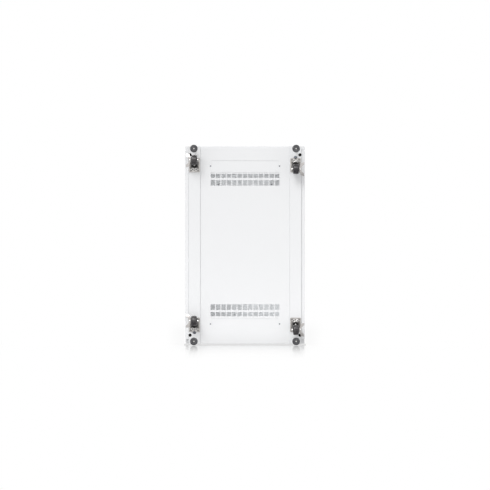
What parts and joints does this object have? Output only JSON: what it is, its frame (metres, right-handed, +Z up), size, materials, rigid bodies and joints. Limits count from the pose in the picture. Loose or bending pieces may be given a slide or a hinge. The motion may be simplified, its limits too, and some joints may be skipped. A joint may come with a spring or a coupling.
{
  "type": "network server rack cabinet",
  "caption": "Free-standing 19 inch equipment cabinet with a glass front door, vented rear door, removable side panels, swivel casters and levelling feet.",
  "frame": {"origin": "on the floor, under the middle of the cabinet", "axes": "+Z up, -Y towards the front door, +X to the right seen from the front"},
  "size_m": [0.6, 1.0101, 2.055],
  "materials": {
    "white_paint": "white powder coat, fine orange peel",
    "zinc": "zinc plated sheet",
    "steel": "bright plated steel",
    "dark_plastic": "dark grey moulded plastic",
    "wheel_plastic": "dark grey nylon, satin",
    "pedal_nickel": "nickel plated stamping",
    "handle_black": "black glass filled plastic",
    "glass": "tempered glass"
  },
  "bodies": {
    "frame": {"base_beam_left": "white_paint", "base_beam_right": "white_paint", "bottom_panel": "white_paint", "bottom_cable_cover_front": "white_paint", "bottom_cable_cover_rear": "white_paint", "roof_panel": "white_paint", "roof_cable_cover_front": "white_paint", "roof_cable_cover_rear": "white_paint", "corner_post_front_left": "white_paint", "mounting_rail_front_left": "zinc", "caster_plate_front_left": "zinc", "corner_post_front_right": "white_paint", "mounting_rail_front_right": "zinc", "caster_plate_front_right": "zinc", "corner_post_rear_left": "white_paint", "mounting_rail_rear_left": "zinc", "caster_plate_rear_left": "zinc", "corner_post_rear_right": "white_paint", "mounting_rail_rear_right": "zinc", "caster_plate_rear_right": "zinc", "depth_support_lower_left": "white_paint", "depth_support_lower_right": "white_paint", "front_hinge_lower": "steel", "rear_hinge_lower": "steel", "depth_support_upper_left": "white_paint", "depth_support_upper_right": "white_paint", "front_hinge_upper": "steel", "rear_hinge_upper": "steel"},
    "front_door": {"front_door_frame": "white_paint", "front_door_glass": "glass", "handle_base": "handle_black"},
    "handle_hub": {"handle_hub": "handle_black"},
    "handle_lever": {"handle_lever": "handle_black"},
    "key_cylinder": {"key_cylinder": "steel"},
    "rear_door": {"rear_door": "white_paint"},
    "rear_lock": {"rear_lock": "handle_black"},
    "side_panel_left": {"side_panel_left": "white_paint"},
    "side_lock_left": {"side_lock_left": "handle_black"},
    "side_panel_right": {"side_panel_right": "white_paint"},
    "side_lock_right": {"side_lock_right": "handle_black"},
    "caster_swivel_front_left": {"caster_fork_front_left": "zinc"},
    "caster_wheel_front_left": {"caster_wheel_front_left": "wheel_plastic"},
    "caster_pedal_front_left": {"caster_pedal_front_left": "pedal_nickel"},
    "foot_front_left": {"foot_pad_front_left": "dark_plastic", "foot_stud_front_left": "steel"},
    "caster_swivel_front_right": {"caster_fork_front_right": "zinc"},
    "caster_wheel_front_right": {"caster_wheel_front_right": "wheel_plastic"},
    "caster_pedal_front_right": {"caster_pedal_front_right": "pedal_nickel"},
    "foot_front_right": {"foot_pad_front_right": "dark_plastic", "foot_stud_front_right": "steel"},
    "caster_swivel_rear_left": {"caster_fork_rear_left": "zinc"},
    "caster_wheel_rear_left": {"caster_wheel_rear_left": "wheel_plastic"},
    "caster_pedal_rear_left": {"caster_pedal_rear_left": "pedal_nickel"},
    "foot_rear_left": {"foot_pad_rear_left": "dark_plastic", "foot_stud_rear_left": "steel"},
    "caster_swivel_rear_right": {"caster_fork_rear_right": "zinc"},
    "caster_wheel_rear_right": {"caster_wheel_rear_right": "wheel_plastic"},
    "caster_pedal_rear_right": {"caster_pedal_rear_right": "pedal_nickel"},
    "foot_rear_right": {"foot_pad_rear_right": "dark_plastic", "foot_stud_rear_right": "steel"}
  },
  "joints": [
    {"name": "front_door_hinge", "type": "hinge", "parent": "frame", "child": "front_door", "pos_m": [-0.29, -0.487, 0], "axis": [0, 0, -1], "range_deg": [0, 130]},
    {"name": "handle_turn", "type": "hinge", "parent": "front_door", "child": "handle_hub", "pos_m": [0.257, -0.5091, 1.095], "axis": [0, 1, 0], "range_deg": [0, 90]},
    {"name": "handle_lift", "type": "hinge", "parent": "handle_hub", "child": "handle_lever", "pos_m": [0.257, -0.5091, 1.095], "axis": [-1, 0, 0], "range_deg": [0, 50]},
    {"name": "key_turn", "type": "hinge", "parent": "handle_lever", "child": "key_cylinder", "pos_m": [0.257, -0.5091, 0.983], "axis": [0, 1, 0], "range_deg": [0, 90]},
    {"name": "rear_door_hinge", "type": "hinge", "parent": "frame", "child": "rear_door", "pos_m": [0.29, 0.487, 0], "axis": [0, 0, -1], "range_deg": [0, 130]},
    {"name": "rear_lock_turn", "type": "hinge", "parent": "rear_door", "child": "rear_lock", "pos_m": [-0.257, 0.497, 1.095], "axis": [0, 1, 0], "range_deg": [0, 90]},
    {"name": "side_panel_left_off", "type": "slide", "parent": "frame", "child": "side_panel_left", "axis": [-1, 0, 0], "range_m": [0, 0.12]},
    {"name": "side_lock_left_turn", "type": "hinge", "parent": "side_panel_left", "child": "side_lock_left", "pos_m": [-0.3, 0, 1.918], "axis": [1, 0, 0], "range_deg": [0, 90]},
    {"name": "side_panel_right_off", "type": "slide", "parent": "frame", "child": "side_panel_right", "axis": [1, 0, 0], "range_m": [0, 0.12]},
    {"name": "side_lock_right_turn", "type": "hinge", "parent": "side_panel_right", "child": "side_lock_right", "pos_m": [0.3, 0, 1.918], "axis": [1, 0, 0], "range_deg": [0, 90]},
    {"name": "caster_swivel_front_left", "type": "hinge", "parent": "frame", "child": "caster_swivel_front_left", "pos_m": [-0.253, -0.3995, 0.06], "axis": [0, 0, 1], "continuous": true},
    {"name": "caster_spin_front_left", "type": "hinge", "parent": "caster_swivel_front_left", "child": "caster_wheel_front_left", "pos_m": [-0.253, -0.422, 0.028], "axis": [1, 0, 0], "continuous": true},
    {"name": "caster_brake_front_left", "type": "hinge", "parent": "caster_swivel_front_left", "child": "caster_pedal_front_left", "pos_m": [-0.253, -0.422, 0.028], "axis": [1, 0, 0], "range_deg": [0, 15]},
    {"name": "foot_level_front_left", "type": "slide", "parent": "frame", "child": "foot_front_left", "axis": [0, 0, 1], "range_m": [-0.018, 0.008]},
    {"name": "caster_swivel_front_right", "type": "hinge", "parent": "frame", "child": "caster_swivel_front_right", "pos_m": [0.253, -0.3995, 0.06], "axis": [0, 0, 1], "continuous": true},
    {"name": "caster_spin_front_right", "type": "hinge", "parent": "caster_swivel_front_right", "child": "caster_wheel_front_right", "pos_m": [0.253, -0.377, 0.028], "axis": [1, 0, 0], "continuous": true},
    {"name": "caster_brake_front_right", "type": "hinge", "parent": "caster_swivel_front_right", "child": "caster_pedal_front_right", "pos_m": [0.253, -0.377, 0.028], "axis": [-1, 0, 0], "range_deg": [0, 15]},
    {"name": "foot_level_front_right", "type": "slide", "parent": "frame", "child": "foot_front_right", "axis": [0, 0, 1], "range_m": [-0.018, 0.008]},
    {"name": "caster_swivel_rear_left", "type": "hinge", "parent": "frame", "child": "caster_swivel_rear_left", "pos_m": [-0.253, 0.3995, 0.06], "axis": [0, 0, 1], "continuous": true},
    {"name": "caster_spin_rear_left", "type": "hinge", "parent": "caster_swivel_rear_left", "child": "caster_wheel_rear_left", "pos_m": [-0.253, 0.377, 0.028], "axis": [1, 0, 0], "continuous": true},
    {"name": "caster_brake_rear_left", "type": "hinge", "parent": "caster_swivel_rear_left", "child": "caster_pedal_rear_left", "pos_m": [-0.253, 0.377, 0.028], "axis": [1, 0, 0], "range_deg": [0, 15]},
    {"name": "foot_level_rear_left", "type": "slide", "parent": "frame", "child": "foot_rear_left", "axis": [0, 0, 1], "range_m": [-0.018, 0.008]},
    {"name": "caster_swivel_rear_right", "type": "hinge", "parent": "frame", "child": "caster_swivel_rear_right", "pos_m": [0.253, 0.3995, 0.06], "axis": [0, 0, 1], "continuous": true},
    {"name": "caster_spin_rear_right", "type": "hinge", "parent": "caster_swivel_rear_right", "child": "caster_wheel_rear_right", "pos_m": [0.253, 0.422, 0.028], "axis": [1, 0, 0], "continuous": true},
    {"name": "caster_brake_rear_right", "type": "hinge", "parent": "caster_swivel_rear_right", "child": "caster_pedal_rear_right", "pos_m": [0.253, 0.422, 0.028], "axis": [-1, 0, 0], "range_deg": [0, 15]},
    {"name": "foot_level_rear_right", "type": "slide", "parent": "frame", "child": "foot_rear_right", "axis": [0, 0, 1], "range_m": [-0.018, 0.008]}
  ]
}
